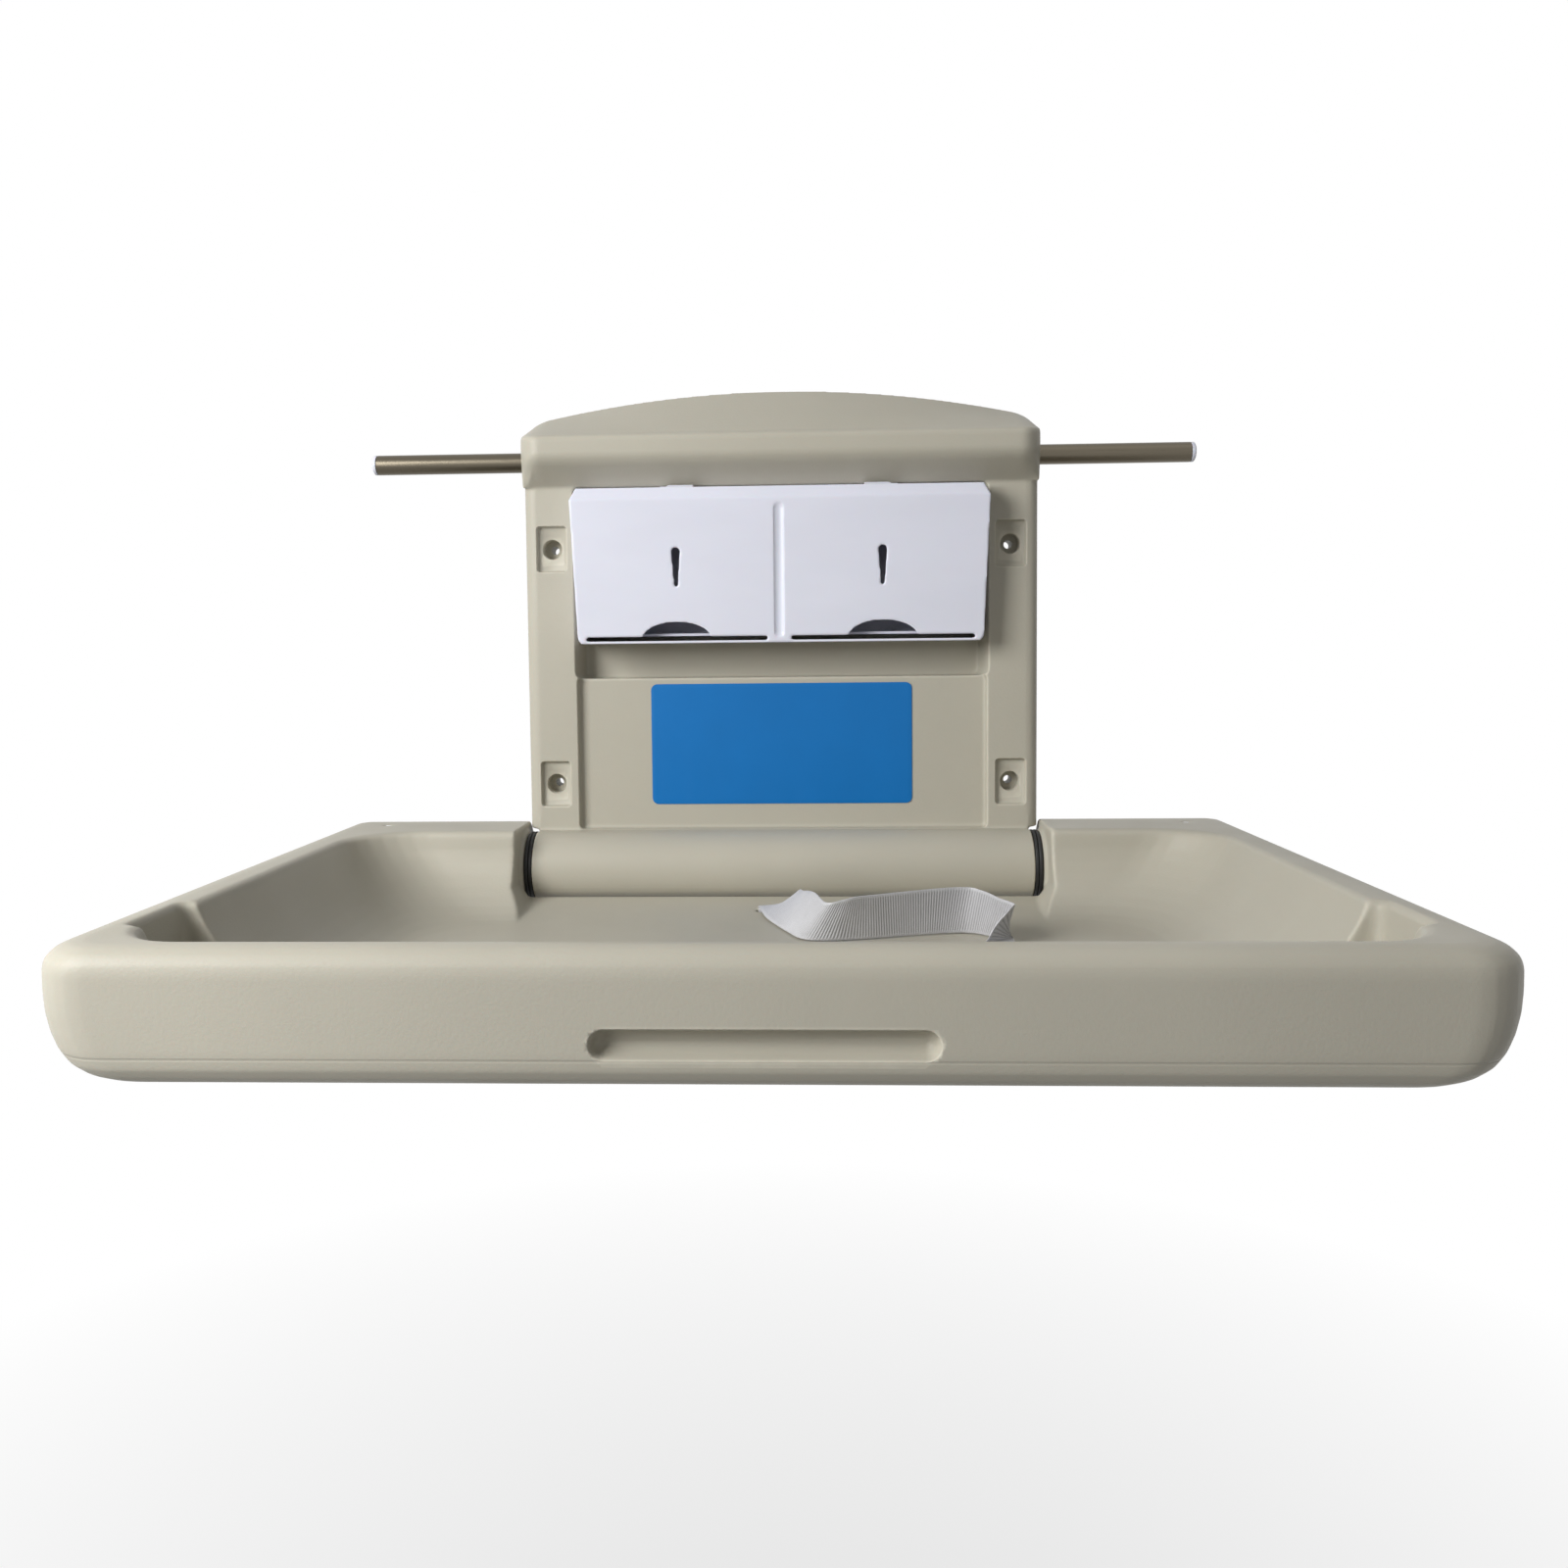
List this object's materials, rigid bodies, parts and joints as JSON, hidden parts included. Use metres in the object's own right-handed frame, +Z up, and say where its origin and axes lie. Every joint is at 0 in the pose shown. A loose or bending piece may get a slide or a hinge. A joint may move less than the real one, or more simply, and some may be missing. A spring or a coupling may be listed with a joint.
{
  "type": "baby changing station",
  "caption": "Wall-hung baby changing station: a fold-down tray with a safety strap, hinged on a back panel with a paper liner dispenser and a latch rod.",
  "frame": {"origin": "on the wall face, on the centre line, level with the hinge axis", "axes": "+X to the right of someone facing the station, +Y into the wall, +Z up"},
  "size_m": [0.86, 0.56, 0.5113],
  "materials": {
    "shell_plastic": "satin moulded polyethylene, warm grey",
    "plate_plastic": "plain sheet",
    "white_plastic": "smooth moulded",
    "steel_tube": "brushed stainless",
    "zinc_shaft": "zinc plated",
    "zinc_screw": "zinc plated",
    "black_washer": "matte",
    "nylon_bush": "natural nylon",
    "label_film": "bare printed film",
    "strap_webbing": "ribbed webbing"
  },
  "bodies": {
    "wall_panel": {"panel_shell": "shell_plastic", "panel_back_plate": "plate_plastic", "back_plate_screw_1": "zinc_screw", "back_plate_screw_2": "zinc_screw", "back_plate_screw_3": "zinc_screw", "back_plate_screw_4": "zinc_screw", "back_plate_screw_5": "zinc_screw", "back_plate_screw_6": "zinc_screw", "latch_rod": "steel_tube", "rod_cap_left": "white_plastic", "rod_cap_right": "white_plastic", "rod_grub_screw_left": "zinc_screw", "rod_grub_screw_right": "zinc_screw", "dispenser_cover": "white_plastic", "dispenser_back": "white_plastic", "dispenser_screw_1": "zinc_screw", "dispenser_screw_2": "zinc_screw", "dispenser_screw_3": "zinc_screw", "dispenser_screw_4": "zinc_screw", "label_plate": "label_film", "hinge_bush_left": "nylon_bush", "hinge_bush_right": "nylon_bush", "inner_washer_left": "black_washer", "inner_washer_right": "black_washer"},
    "tray": {"tray_basin": "shell_plastic", "tray_underside": "shell_plastic", "tray_screw_1": "zinc_screw", "tray_screw_2": "zinc_screw", "tray_screw_3": "zinc_screw", "tray_screw_4": "zinc_screw", "tray_screw_5": "zinc_screw", "tray_screw_6": "zinc_screw", "tray_screw_7": "zinc_screw", "tray_screw_8": "zinc_screw", "hinge_shaft": "zinc_shaft", "shaft_screw_left": "zinc_screw", "shaft_screw_right": "zinc_screw", "outer_washer_left": "black_washer", "outer_washer_right": "black_washer", "safety_strap": "strap_webbing", "strap_pin_rear": "zinc_screw", "strap_pin_front": "zinc_screw"}
  },
  "joints": [
    {"name": "tray_fold", "type": "hinge", "parent": "wall_panel", "child": "tray", "pos_m": [0, -0.05, 0], "axis": [-1, 0, 0], "range_deg": [0, 90]}
  ]
}
